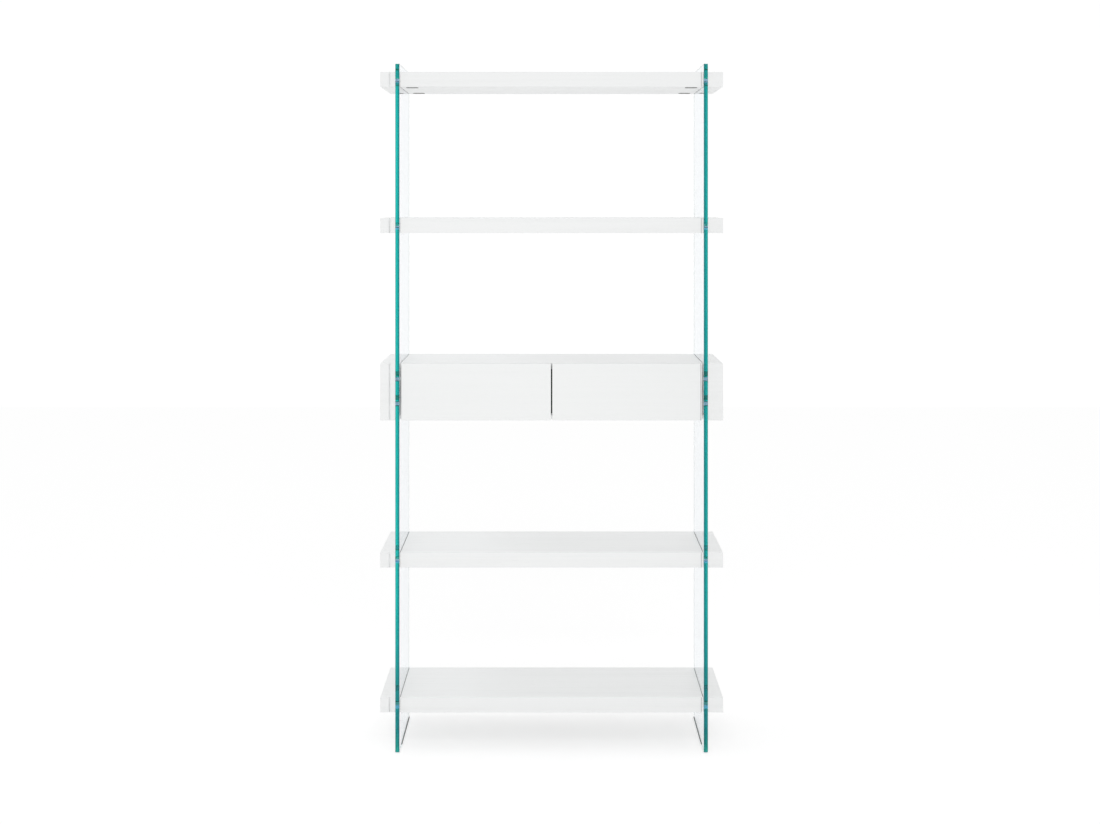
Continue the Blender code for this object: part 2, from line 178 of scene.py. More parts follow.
class Wire:
    """A value on its way through a finish. Sums written in Python become Math nodes."""

    def __init__(self, finish, socket):
        self.finish, self.socket = finish, socket

    def math(self, operation, *others):
        settings = {"operation": operation}
        return self.finish.add("ShaderNodeMath", settings, dict(enumerate((self, *others))))

    def __add__(self, other):
        return self.math("ADD", other)

    def __sub__(self, other):
        return self.math("SUBTRACT", other)

    def __rsub__(self, other):
        return self.finish.add("ShaderNodeMath", {"operation": "SUBTRACT"}, {0: other, 1: self})

    def __mul__(self, other):
        return self.math("MULTIPLY", other)

    __radd__, __rmul__ = __add__, __mul__

    def most(self, other):
        return self.math("MAXIMUM", other)

    def least(self, other):
        return self.math("MINIMUM", other)

    def size(self):
        return self.math("ABSOLUTE")

    def ramp(self, low, high, to_low=0.0, to_high=1.0):
        """0 to 1 as the value goes from low to high, or to_low to to_high."""
        sockets = {
            "Value": self, "From Min": low, "From Max": high, "To Min": to_low, "To Max": to_high,
        }
        return self.finish.add("ShaderNodeMapRange", {"interpolation_type": "SMOOTHSTEP"}, sockets)


class Finish:
    """A material that is being mixed, or the world."""

    def __init__(self, name, world=False):
        self.made = (bpy.data.worlds if world else bpy.data.materials).new(name)
        self.made.use_nodes = True
        self.output = "ShaderNodeOutputWorld" if world else "ShaderNodeOutputMaterial"
        self.tree = self.made.node_tree
        self.tree.nodes.clear()

    def add(self, kind, settings=(), sockets=(), out=0):
        node = self.tree.nodes.new(kind)
        for key, value in dict(settings).items():
            setattr(node, key, value)
        for key, value in dict(sockets).items():
            if isinstance(value, Wire):
                self.tree.links.new(value.socket, node.inputs[key])
            else:
                node.inputs[key].default_value = value
        return Wire(self, node.outputs[out] if len(node.outputs) else None)

    def place(self, scale, shift=(0, 0, 0)):
        """Where a point lies on the piece, in metres, stretched by scale."""
        at = self.add("ShaderNodeTexCoord", out="Object")
        sockets = {"Vector": at, "Scale": scale, "Location": shift}
        return self.add("ShaderNodeMapping", {}, sockets)

    def along(self, axis):
        at = self.add("ShaderNodeTexCoord", out="Object")
        return self.add("ShaderNodeSeparateXYZ", {}, {"Vector": at}, out=axis)

    def facing(self, axis):
        """1 on faces that look along the axis, -1 on those that look against it."""
        way = self.add("ShaderNodeTexCoord", out="Normal")
        return self.add("ShaderNodeSeparateXYZ", {}, {"Vector": way}, out=axis)

    def noise(self, place, detail=2.0, roughness=0.5):
        sockets = {"Vector": place, "Scale": 1.0, "Detail": detail, "Roughness": roughness}
        return self.add("ShaderNodeTexNoise", {}, sockets, out="Fac")

    def blend(self, factor, first, second, kind="RGBA"):
        first_at, second_at, out = {"RGBA": (6, 7, 2), "VECTOR": (4, 5, 1)}[kind]
        sockets = {0: factor, first_at: first, second_at: second}
        return self.add("ShaderNodeMix", {"data_type": kind}, sockets, out=out)

    def bump(self, height, distance, strength=1.0):
        sockets = {"Height": height, "Distance": distance, "Strength": strength}
        return self.add("ShaderNodeBump", {}, sockets)

    def mix(self, factor, first, second=None):
        sockets = {0: factor, 1: first}
        if second:
            sockets[2] = second
        return self.add("ShaderNodeMixShader", {}, sockets)

    def is_ray(self, kind):
        return self.add("ShaderNodeLightPath", out=f"Is {kind} Ray")

    def looked_at(self):
        """1 for what the eye sees, be it straight, in a mirror or through glass."""
        return self.is_ray("Camera").most(self.is_ray("Glossy")).most(self.is_ray("Transmission"))

    def shader(self, **sockets):
        named = {key.replace("_", " "): value for key, value in sockets.items()}
        return self.add("ShaderNodeBsdfPrincipled", {}, named)

    def done(self, surface, volume=None):
        sockets = {"Surface": surface}
        if volume:
            sockets["Volume"] = volume
        self.add(self.output, {}, sockets)
        return self.made


def rgb(red, green, blue):
    return (red, green, blue, 1.0)


def grey(value):
    return rgb(value, value, value)


WHITE = grey(1.0)


def open_pored(name, tone, front_tone, streak, pore, roughness, coat=0.0):
    """White stain on ash: soft streaks, open pores that run with them, and a satin lacquer.

    The stain is rubbed in evenly, most of all on fronts, tops and undersides, so that little of
    the grain shows there. Tops and undersides have flecks. The tone by facing is painted light and
    shade: fronts and tops take front_tone, the other faces tone, to even out how they are lit.
    """
    wood = Finish(name)
    front, upward = wood.facing("Y").size().ramp(0.6, 0.9), wood.facing("Z")
    level, turned = upward.size().ramp(0.6, 0.9), wood.facing("X").size().ramp(0.5, 0.51)

    def grain(lengthwise, crosswise, shift):
        length_along_x = wood.place((lengthwise, crosswise, crosswise), shift)
        length_along_y = wood.place((crosswise, lengthwise, crosswise), shift)
        return wood.blend(turned, length_along_x, length_along_y, "VECTOR")

    sway = wood.noise(wood.place((2.2, 9.0, 9.0)), 2.0)
    bands = wood.noise(grain(1.6, 95.0, (0.3, 0.7, 0.1)), 3.0, 0.62)
    wide = wood.noise(grain(0.9, 22.0, (1.7, 0.2, 0.9)), 2.0)
    pores = wood.noise(grain(34.0, 1500.0, (0.0, 0.0, 0.0)), 2.0, 0.7)
    open_grain = (bands * 0.6 + wide * 0.4).ramp(0.42, 0.62)
    shown = 1.0 - front * 0.65 - level * 0.55 - turned * 0.35
    flecks = wood.noise(grain(20.0, 420.0, (0.4, 0.9, 0.2)), 1.0).ramp(0.70, 0.76) * level
    pits = pores.ramp(0.56, 0.70) * (0.25 + open_grain * 0.75) * shown + flecks * 0.6
    shade = open_grain * (0.6 + sway * 0.8) * shown
    # Painted light and shade: the tone depends on which way a face looks
    painted_facing_tone = wood.blend(front.most(upward.ramp(0.6, 0.9)), tone, front_tone)
    colour = wood.blend(pits * 0.55, wood.blend(shade, painted_facing_tone, streak), pore)
    return wood.done(wood.shader(
        Base_Color=colour,
        Roughness=roughness + pits * 0.18 + sway * 0.06,
        Normal=wood.bump(0.0 - pits * 0.7 - open_grain * 0.3, 0.00018, 0.8),
        Coat_Weight=coat,
        Coat_Roughness=0.35,
    ))


def glass_body(finish, colour, clear, roughness, normal, lamp_tint, mirror_tint=WHITE):
    """Glass that lets lamps and room light through to what stands behind it.

    clear is 1 where it hides nothing.
    """
    solid = finish.shader(
        Base_Color=colour, Roughness=roughness, IOR=1.52, Transmission_Weight=clear,
        Normal=normal, Specular_Tint=mirror_tint,
    )
    for_room = finish.add("ShaderNodeBsdfTransparent", {}, {"Color": WHITE})
    for_lamps = finish.add("ShaderNodeBsdfTransparent", {}, {"Color": lamp_tint})
    bounce = finish.is_ray("Diffuse")
    surface = finish.mix(finish.is_ray("Shadow"), finish.mix(bounce, solid, for_room), for_lamps)
    in_depth = {"Color": rgb(0.35, 0.70, 0.95), "Density": 5.0}
    tint = finish.add("ShaderNodeVolumeAbsorption", {}, in_depth)
    return finish.done(surface, finish.mix(bounce, tint))


def clear_glass():
    """The wide faces, with the faint marks that wiping leaves."""
    glass = Finish("clear_glass")
    wiped = glass.noise(glass.place((6.0, 5.0, 1.6)), 4.0, 0.6)
    marks = glass.noise(glass.place((26.0, 20.0, 5.0)), 3.0, 0.5).ramp(0.5, 0.8)
    return glass_body(
        glass,
        colour=glass.blend(marks * 0.3, WHITE, rgb(0.98, 0.99, 1.0)),
        clear=1.0,
        roughness=marks * 0.004,
        normal=glass.bump(wiped, 0.00002, 0.05),
        lamp_tint=rgb(0.98, 0.99, 0.993),
    )


def polished_edge():
    """The edges, ground and polished: fine lines run along them, and the green varies at random. Over
    it, painted shade falls on the inner half, the right-hand pane, the lower part and the arrises, the
    green is deeper near the top, and painted light marks the front bolts' sleeves.
    """
    edge = Finish("polished_edge")
    lines = edge.noise(edge.place((2600.0, 26.0, 26.0)), 2.0)
    cloud = edge.noise(edge.place((160.0, 7.0, 7.0)), 3.0)
    side, height = edge.along("X"), edge.along("Z")
    across = side.size() - (GLASS_INNER + GLASS_OUTER) / 2
    inner_part = across + side.ramp(-0.1, 0.1, 0.0024, 0.0004)
    shade_near_floor = height.ramp(0.07, 0.44, 0.85, 0.0) * height.ramp(0.062, 0.074, 0.5, 1.0)
    # Over the edge's own green: painted shade on the inner half, the right-hand pane, the lower part
    # and the arrises, a deeper green near the top, and painted light where the front bolts' sleeves
    # show
    painted_light_and_shade = {
        "inner half": (inner_part.ramp(-0.0006, 0.0006, 1.0, 0.0), rgb(0.018, 0.435, 0.31)),
        "right-hand pane": (side.ramp(-0.1, 0.1, 0.0, 0.35), rgb(0.018, 0.36, 0.27)),
        "near the top": (height.ramp(1.93, 1.965) * 0.6, rgb(0.027, 0.41, 0.28)),
        "near the floor": (shade_near_floor, rgb(0.034, 0.26, 0.20)),
        "arrises": (across.size().ramp(0.0046, 0.0053), rgb(0.008, 0.325, 0.25)),
        "bolts": (painted_sleeve_light(edge), rgb(0.38, 0.76, 0.95)),
    }
    colour = edge.blend(cloud.ramp(0.35, 0.65), rgb(0.024, 0.76, 0.49), rgb(0.034, 0.87, 0.56))
    for share, green in painted_light_and_shade.values():
        colour = edge.blend(share, colour, green)
    return glass_body(
        edge,
        colour=colour,
        clear=0.82,
        roughness=lines.ramp(0.3, 0.7, 0.01, 0.05),
        normal=edge.bump(lines, 0.00004, 0.2),
        lamp_tint=rgb(0.12, 0.18, 0.17),
        mirror_tint=rgb(0.2, 0.8, 0.8),
    )


def painted_sleeve_light(edge):
    """1 where the painted light of a front bolt's lit pale sleeve goes, a little higher the lower the
    bolt sits.
    """
    start, end = SPOT_FRONT
    front = edge.along("Y").ramp(glass_low.y + start, glass_low.y + end, 1.0, 0.0)
    height, nearest = edge.along("Z"), None
    shelves = (shelf_axis(shelf) - drop for shelf, drop in SPOT_DROP.items())
    for z in (*shelves, *UNIT_BOLTS):
        away = (height - (z + SPOT_LIFT * (EYE_LEVEL - z))).size()
        nearest = nearest.least(away) if nearest else away
    return nearest.ramp(*SPOT_RIM, 1.0, 0.0) * front


def ground_edge():
    """The lower edge, left rough from the wheel, with a fine grey grain."""
    edge = Finish("ground_edge")
    grain = edge.noise(edge.place((1800.0, 1800.0, 1800.0)), 3.0, 0.6)
    return edge.done(edge.shader(
        Base_Color=edge.blend(grain.ramp(0.3, 0.7), rgb(0.12, 0.52, 0.50), rgb(0.18, 0.62, 0.60)),
        Roughness=0.6 + grain * 0.3,
        Normal=edge.bump(grain, 0.00006, 0.5),
    ))


def zinc_steel():
    """Zinc plate: a cool grey with soft cloudy patches and drawing lines."""
    steel = Finish("zinc_steel")
    patch = steel.noise(steel.place((240.0, 60.0, 240.0)), 3.0, 0.6)
    drawn = steel.noise(steel.place((2400.0, 40.0, 2400.0)), 2.0)
    return steel.done(steel.shader(
        Base_Color=steel.blend(
            patch.ramp(0.35, 0.65), rgb(0.60, 0.61, 0.63), rgb(0.74, 0.75, 0.76)
        ),
        Metallic=1.0,
        Roughness=0.24 + patch * 0.16 + drawn * 0.10,
        Normal=steel.bump(drawn, 0.00003, 0.4),
    ))


def board_core_and_shade():
    """Chipboard inside the spanner pockets, the bores and the joint lines, made near-black: painted
    shade for these recesses.
    """
    core = Finish("board_core_and_shade")
    sockets = {"Vector": core.place((700.0, 700.0, 420.0)), "Scale": 1.0}
    chips = core.add("ShaderNodeTexVoronoi", {"feature": "F1"}, sockets, out="Distance")
    dust = core.noise(core.place((1500.0, 1500.0, 1500.0)), 3.0)
    return core.done(core.shader(
        Base_Color=core.blend(
            chips.ramp(0.1, 0.8), rgb(0.060, 0.058, 0.055), rgb(0.14, 0.135, 0.125)
        ),
        Roughness=0.75 + dust * 0.2,
        Normal=core.bump(chips + dust * 0.5, 0.0003, 0.8),
    ))


def pale_board():
    """The drawer bottoms: sanded birch with short fine grain."""
    board = Finish("pale_board")
    long_grain = board.noise(board.place((4.0, 120.0, 120.0)), 3.0, 0.6)
    fleck = board.noise(board.place((110.0, 1800.0, 1800.0)), 2.0).ramp(0.58, 0.7)
    sanded = board.blend(long_grain.ramp(0.3, 0.7), rgb(0.80, 0.73, 0.60), rgb(0.70, 0.61, 0.47))
    return board.done(board.shader(
        Base_Color=board.blend(fleck * 0.4, sanded, rgb(0.48, 0.38, 0.26)),
        Roughness=0.5 + long_grain * 0.2,
        Normal=board.bump(long_grain - fleck * 0.5, 0.0001, 0.5),
    ))


def white_melamine():
    """The drawer sides and backs: pressed white foil with a fine pearl."""
    foil = Finish("white_melamine")
    pearl = foil.noise(foil.place((1300.0, 1300.0, 1300.0)), 2.0)
    cloud = foil.noise(foil.place((14.0, 14.0, 14.0)), 3.0)
    return foil.done(foil.shader(
        Base_Color=foil.blend(cloud.ramp(0.3, 0.7), rgb(0.84, 0.845, 0.84), rgb(0.80, 0.805, 0.80)),
        Roughness=0.42 + pearl * 0.16,
        Normal=foil.bump(pearl, 0.00005, 0.35),
    ))


def black_rubber_and_shade():
    """The thin seals between glass and board and the channels under the glass, whose black also stands
    in for shade there, and the black on the divider's front edge, which is painted shade.
    """
    rubber = Finish("black_rubber_and_shade")
    speck = rubber.noise(rubber.place((900.0, 900.0, 900.0)), 3.0)
    return rubber.done(rubber.shader(
        Base_Color=rubber.blend(
            speck.ramp(0.3, 0.7), rgb(0.020, 0.021, 0.022), rgb(0.045, 0.046, 0.047)
        ),
        Roughness=0.6 + speck * 0.3,
        Normal=rubber.bump(speck, 0.00008, 0.5),
    ))


def nylon():
    """The sleeves in the glass: bluish white plastic, a little mottled."""
    plastic = Finish("nylon")
    milk = plastic.noise(plastic.place((300.0, 300.0, 300.0)), 2.0)
    return plastic.done(plastic.shader(
        Base_Color=plastic.blend(milk.ramp(0.3, 0.7), rgb(0.74, 0.79, 0.88), rgb(0.84, 0.88, 0.95)),
        Roughness=0.3 + milk * 0.2,
        Normal=plastic.bump(milk, 0.00004, 0.3),
    ))


VENEER = open_pored(
    "white_veneer",
    tone=rgb(0.910, 0.918, 0.917),
    front_tone=rgb(0.868, 0.876, 0.875),
    streak=rgb(0.825, 0.835, 0.832),
    pore=rgb(0.64, 0.65, 0.64),
    roughness=0.38,
)
FRONT = open_pored(
    "white_front",
    tone=rgb(0.870, 0.880, 0.877),
    front_tone=rgb(0.864, 0.874, 0.871),
    streak=rgb(0.850, 0.861, 0.857),
    pore=rgb(0.70, 0.71, 0.70),
    roughness=0.34,
    coat=0.15,
)
# The drawer fronts' top faces: painted shade, darker for the shadow in the gap above them
SHADED_TOP_EDGE = open_pored(
    "shaded_top_edge",
    tone=rgb(0.79, 0.795, 0.79),
    front_tone=rgb(0.79, 0.795, 0.79),
    streak=rgb(0.76, 0.765, 0.76),
    pore=rgb(0.60, 0.61, 0.60),
    roughness=0.45,
)
GLASS, EDGE, LOWER_EDGE = clear_glass(), polished_edge(), ground_edge()
STEEL, NYLON, RUBBER_AND_SHADE = zinc_steel(), nylon(), black_rubber_and_shade()
CORE_AND_SHADE, PLY, FOIL = board_core_and_shade(), pale_board(), white_melamine()


# Modelling


def pick_up(piece):
    bpy.ops.object.select_all(action="DESELECT")
    piece.select_set(True)
    bpy.context.view_layer.objects.active = piece


def open_up(piece, edges=None, faces=None):
    """Goes into edit mode with the edges or faces selected that the tests name."""
    pick_up(piece)
    bpy.ops.object.mode_set(mode="EDIT")
    bpy.ops.mesh.select_mode(type="EDGE" if edges else "FACE")
    bpy.ops.mesh.select_all(action="DESELECT")
    bm = bmesh.from_edit_mesh(piece.data)
    for part in (bm.edges if edges else bm.faces):
        part.select = (edges or faces)(part)
    bm.select_flush_mode()
    bmesh.update_edit_mesh(piece.data)


def close_up():
    bpy.ops.object.mode_set(mode="OBJECT")


def settle(piece):
    """Puts the piece's place, turn and scale into its mesh."""
    pick_up(piece)
    bpy.ops.object.transform_apply(location=True, rotation=True, scale=True)


def mill(name, low, high):
    """A block between two corners."""
    low, high = Vector(low), Vector(high)
    bpy.ops.object.select_all(action="DESELECT")
    bpy.ops.mesh.primitive_cube_add(size=1, location=(low + high) / 2, scale=high - low)
    piece = bpy.context.object
    piece.name = piece.data.name = name
    settle(piece)
    return piece


def turn(name, radius, length, middle, sides=24):
    """A round bar that lies along X, or a hexagon of 6 sides, around the middle of its length."""
    bpy.ops.object.select_all(action="DESELECT")
    bpy.ops.mesh.primitive_cylinder_add(
        vertices=sides, radius=radius, depth=length, location=middle, rotation=(0, math.pi / 2, 0)
    )
    piece = bpy.context.object
    piece.name = piece.data.name = name
    settle(piece)
    return piece


def ease(piece, width, segments=3, edges=lambda edge: True):
    """Rounds over the edges that the test names."""
    open_up(piece, edges=edges)
    bpy.ops.mesh.bevel(offset=width, segments=segments, profile=0.5, affect="EDGES")
    close_up()


def runs_along(axis):
    def test(edge):
        way = edge.verts[1].co - edge.verts[0].co
        return abs(way[axis]) > STRAIGHT * way.length
    return test


def at_level(axis, place):
    def test(edge):
        return all(abs(vertex.co[axis] - place) < SAME for vertex in edge.verts)
    return test


def join(name, parts):
    bpy.ops.object.select_all(action="DESELECT")
    for part in parts:
        part.select_set(True)
    bpy.context.view_layer.objects.active = parts[0]
    if len(parts) > 1:
        bpy.ops.object.join()
    piece = bpy.context.object
    piece.name = piece.data.name = name
    return piece


def cut(piece, cutters):
    """Cuts the shapes of the cutters out of the piece."""
    cutter = join("cutter", cutters)
    modifier = piece.modifiers.new("cut", "BOOLEAN")
    modifier.operation, modifier.solver, modifier.object = "DIFFERENCE", "EXACT", cutter
    pick_up(piece)
    bpy.ops.object.modifier_apply(modifier=modifier.name)
    bpy.data.objects.remove(cutter)


def smooth_over(piece, angle=SMOOTH):
    """Smooth roundings beside flat faces that stay flat."""
    pick_up(piece)
    bpy.ops.object.shade_smooth_by_angle(angle=math.radians(angle))
    modifier = piece.modifiers.new("flat faces", "WEIGHTED_NORMAL")
    modifier.keep_sharp = True
    bpy.ops.object.modifier_apply(modifier=modifier.name)


def dress(piece, *materials, which=None):
    """Gives the piece its materials. which tells the number of a face's material."""
    piece.data.materials.clear()
    for material in materials:
        piece.data.materials.append(material)
    for face in piece.data.polygons:
        face.material_index = int(which(face)) if which else 0
    return piece


def fit(piece, body, slot, *nodes):
    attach(piece, body)
    if nodes:
        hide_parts(*nodes)
    return piece


def another(piece, name, shift=(0, 0, 0), scale=(1, 1, 1)):
    """A copy with its own mesh, moved by shift and stretched by scale."""
    copy = piece.copy()
    copy.data = piece.data.copy()
    copy.name = copy.data.name = name
    bpy.context.collection.objects.link(copy)
    copy.location, copy.scale = shift, scale
    settle(copy)
    return copy


def mirrored(piece, name):
    """The left-hand one of a right-hand piece."""
    copy = another(piece, name, scale=(-1, 1, 1))
    open_up(copy, faces=lambda face: True)
    bpy.ops.mesh.normals_make_consistent(inside=False)
    close_up()
    return copy


def worked(node, name):
    """A copy of a CAD solid to work on: loose triangles merged, flat faces made whole."""
    piece = bpy.data.objects.new(name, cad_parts[node].data.copy())
    piece.data.name = name
    bpy.context.collection.objects.link(piece)
    open_up(piece, faces=lambda face: True)
    bpy.ops.mesh.customdata_custom_splitnormals_clear()
    bpy.ops.mesh.remove_doubles(threshold=MERGED)
    bpy.ops.mesh.dissolve_limited(angle_limit=math.radians(FLAT))
    close_up()
    return piece


def finish_cad(node, material):
    """Gives a solid that is shown as it is its material."""
    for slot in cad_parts[node].material_slots:
        slot.material = material


# The glass sides


def make_glass_side(side_name, side):
    """A pane with rounded corners, eased edges and a hole for each bolt."""
    inner, outer = sorted((side * GLASS_INNER, side * GLASS_OUTER))
    low = (inner, glass_low.y, glass_low.z + FOOT_WALL)
    pane = mill(f"glass_side_{side_name}", low, (outer, glass_high.y, glass_high.z))
    across = runs_along(0)
    ease(pane, GLASS_CORNER, 8, across)
    ease(pane, EASED["glass"], 2, lambda edge: not across(edge))
    middle = (inner + outer) / 2
    heights = [shelf_axis(shelf) for shelf in SHELVES]
    places = bolt_places([*heights, *UNIT_BOLTS])
    drills = [turn("drill", HOLE, DRILL_LENGTH, (middle, y, z), sides=32) for _, y, z in places]
    cut(pane, drills)

    def which(face):
        y, z = face.center.y, face.center.z
        from_rim = min(y - glass_low.y, glass_high.y - y, z - glass_low.z, glass_high.z - z)
        if from_rim >= GLASS_CORNER:
            return 0
        return 2 if face.normal.z < -MOSTLY else abs(face.normal.x) < STRAIGHT

    dress(pane, GLASS, EDGE, LOWER_EDGE, which=which)
    fit(pane, "frame", "clear_glass", f"glass_panel_{side_name}")


def make_foot(side_name, side):
    """The soft black channel that the pane stands in; it also stands in for the shade along the
    glass's lower inner edge.
    """
    inner, outer = sorted((side * GLASS_INNER, side * GLASS_OUTER))
    wall = Vector((FOOT_WALL, 0, 0))
    low = Vector((inner, glass_low.y + FOOT_FRONT, glass_low.z))
    high = Vector((outer, BACK - BACK_STEP, glass_low.z + FOOT_HEIGHT))
    channel = mill(f"glass_foot_{side_name}", low - wall, high + wall)
    ease(channel, EASED["channel"], 2)
    groove_low = low + Vector((0, -2 * OVER, FOOT_WALL - SEAT))
    groove_high = high + Vector((0, 2 * OVER, OVER))
    cut(channel, [mill("groove", groove_low, groove_high)])
    smooth_over(channel)
    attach(dress(channel, RUBBER_AND_SHADE), "frame")


# The clamping bolts


def bolt_places(heights):
    return [(row, y, z) for z in heights for row, y in BOLT_ROWS.items()]


def make_bolt(grip):
    """A right-hand bolt with its bushing in the glass, its washer and its nut.

    It lies around height and depth 0, and clamps a wall that is as thick as grip.
    """
    washer_x = BOARD_END - grip - SEAT - WASHER_THICKNESS / 2
    nut_x = washer_x - WASHER_THICKNESS / 2 - NUT_HEIGHT / 2
    end = nut_x - NUT_HEIGHT / 2 - TAIL
    start = GLASS_OUTER + SEAT + EMBEDDED
    rod = turn("rod", ROD, start - nut_x, ((start + nut_x) / 2, 0, 0))
    open_up(rod, faces=lambda face: face.normal.x < -MOSTLY)
    for i in range(round((nut_x - end) / THREAD_PITCH)):
        size = THREAD_ROOT if i % 2 == 0 else 1 / THREAD_ROOT
        bpy.ops.mesh.extrude_region_move(TRANSFORM_OT_translate={"value": (-THREAD_PITCH, 0, 0)})
        bpy.ops.transform.resize(value=(1, size, size))
    close_up()
    glass_middle = ((GLASS_INNER + GLASS_OUTER) / 2, 0, 0)
    bushing = turn("bushing", BUSHING, GLASS_OUTER - GLASS_INNER, glass_middle, sides=32)
    ease(bushing, EASED["bushing"], 2)
    washer = turn("washer", WASHER, WASHER_THICKNESS, (washer_x, 0, 0), sides=32)
    ease(washer, EASED["washer"], 2)
    nut = turn("nut", NUT, NUT_HEIGHT, (nut_x, 0, 0), sides=6)
    ease(nut, NUT_CORNER, 3, runs_along(0))
    ease(nut, EASED["nut"], 2, lambda edge: at_level(0, edge.verts[0].co.x)(edge))
    for part in (rod, washer, nut):
        dress(part, STEEL)
    dress(bushing, NYLON)
    bolt = join("bolt", [rod, bushing, washer, nut])
    smooth_over(bolt, SMOOTH_SMALL)
    return bolt


def shelf_bolts(side_name):
    """The name, the CAD node and the place of each bolt that clamps a shelf."""
    for shelf in SHELVES:
        for row, y, z in bolt_places([shelf_axis(shelf)]):
            end = f"{side_name}_{row}"
            yield f"{shelf}_clamp_bolt_{end}", f"{shelf}_bolt_{end}", y, z


def unit_bolts(side_name):
    """The same for the drawer unit, where the CAD's end blocks hold the bolts."""
    for row, y, z in bolt_places(UNIT_BOLTS):
        level = "low" if z < UNIT_MIDDLE else "high"
        yield f"cabinet_clamp_bolt_{side_name}_{row}_{level}", f"cabinet_end_{side_name}", y, z


def set_bolts():
    """Bolts of two lengths: the left-hand ones are mirrored from a right-hand model."""
    kinds = [(make_bolt(POCKET_WALL), shelf_bolts), (make_bolt(UNIT_PANEL), unit_bolts)]
    for side_name, side in SIDES.items():
        for right_model, bolts in kinds:
            model = mirrored(right_model, "left model") if side < 0 else right_model
            for name, node, y, z in bolts(side_name):
                fit(another(model, name, (0, y, z)), "frame", "zinc_steel", node)
            bpy.data.objects.remove(model)


# The shelves


def joint_line(x, low, high):
    """A cutter for the fine line on the front beside the end lipping."""
    return mill(
        "joint",
        (x - JOINT / 2, low.y - OVER, low.z - OVER),
        (x + JOINT / 2, low.y + JOINT, high.z + OVER),
    )


def in_joint(point, x, low):
    near_line = abs(point.x - x) < JOINT / 2 + HAIR
    return near_line and low.y + HAIR < point.y < low.y + JOINT_REACH


def pocket_and_bore(side, y, z, low):
    """Cutters for a spanner pocket from below, and for the bore from it to the glass."""
    middle, corner = side * (BOARD_END - POCKET_WALL - POCKET / 2), Vector((POCKET, POCKET, 0)) / 2
    pocket = mill(
        "pocket",
        Vector((middle, y, low.z - OVER / 2)) - corner,
        Vector((middle, y, low.z + POCKET_DEPTH)) + corner,
    )
    ease(pocket, POCKET_ROUNDING, 6, runs_along(2))
    return pocket, turn("bore", BORE, BORE_LENGTH, (middle + side * POCKET_TO_BORE, y, z))


def make_board(shelf):
    """The board between the panes, with its spanner pockets underneath."""
    low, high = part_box(f"{shelf}_board")
    board = mill(f"{shelf}_middle", (-BOARD_END, low.y, low.z), (BOARD_END, high.y, high.z))
    ease(board, EASED["board"])
    cut(board, seal_seats(low, high))
    joint = BOARD_END - END_LIPPING
    cut(board, [joint_line(joint, low, high)])
    pockets, bores = [], []
    for side in SIDES.values():
        for _, y, z in bolt_places([shelf_axis(shelf)]):
            pocket, bore = pocket_and_bore(side, y, z, low)
            pockets.append(pocket)
            bores.append(bore)
    cut(board, pockets)
    cut(board, bores)
    smooth_over(board)

    # Pockets, bores and the joint line take the near-black core: painted shade in these recesses
    def bare_and_shaded(face):
        point = face.center
        inside = (
            low.z + HAIR < point.z < high.z - SKIN / 2
            and abs(point.x) < BOARD_END - SKIN
            and low.y + SKIN < point.y < high.y - SKIN
        )
        return inside or in_joint(point, joint, low)

    dress(board, VENEER, CORE_AND_SHADE, which=bare_and_shaded)
    fit(board, "frame", "white_veneer", f"{shelf}_board")


def seal_seats(low, high):
    """Cutters for the seals' seats, along the top and bottom of both ends.

    The front lipping reaches the glass.
    """
    front, seats = low.y + LIPPING, []
    for side in SIDES.values():
        near, far = sorted((side * (BOARD_END - SEAL), side * (GLASS_INNER + OVER)))
        for bottom, top in (
            (low.z - OVER, low.z + SEAL_HEIGHT),
            (high.z - SEAL_HEIGHT, high.z + OVER),
        ):
            seats.append(mill("seat", (near, front, bottom), (far, high.y + OVER, top)))
    return seats


def make_seals(name, side, low, high):
    """Two thin black strips that close the joint between glass and wood; their black also stands in
    for the shade in that gap.
    """
    near, far = sorted((side * (BOARD_END - SEAL), side * BOARD_END))
    front, back = low.y + LIPPING + SEAT, high.y - BACK_STEP
    height = SEAL_HEIGHT - SEAL_DROP - SEAT
    strips = []
    for bottom in (low.z + SEAL_DROP, high.z - SEAL_DROP - height):
        strip = mill(name, (near, front, bottom), (far, back, bottom + height))
        ease(strip, EASED["seal"], 2)
        strips.append(strip)
    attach(dress(join(name, strips), RUBBER_AND_SHADE), "frame")


def eased_seam(x, low, high):
    """A cutter for the V that two eased edges leave on the front."""
    middle = Vector((x, low.y, (low.z + high.z) / 2))
    half = Vector((SEAM / 2, SEAM / 2, (high.z - low.z) / 2 + OVER))
    blade = mill("seam", middle - half, middle + half)
    open_up(blade, faces=lambda face: True)
    bpy.ops.transform.rotate(value=math.pi / 4, orient_axis="Z", center_override=middle)
    bpy.ops.transform.resize(value=(1, SEAM_DEEPENING, 1), center_override=middle)
    close_up()
    return blade


def make_end(name, side, low, high, heights, node):
    """The short block outside the glass, bored for its bolts. Left-hand ones have a seam."""
    block = mill(name, low, high)
    ease(block, EASED["board"])
    inner, depth, places = side * GLASS_OUTER, SEAT + EMBEDDED, bolt_places(heights)
    cut(block, [turn("bore", BORE, 2 * depth, (inner, y, z)) for _, y, z in places])
    if side < 0:
        cut(block, [eased_seam(inner - CHEEK, low, high)])
    smooth_over(block)

    # The bores take the near-black core: painted shade inside them
    def bored(face):
        point = face.center
        away = min(math.hypot(point.y - y, point.z - z) for _, y, z in places)
        return away < ROD + SKIN / 2 and SKIN / 2 < abs(point.x - inner) < depth + SKIN / 2

    dress(block, VENEER, CORE_AND_SHADE, which=bored)
    fit(block, "frame", "white_veneer", node)


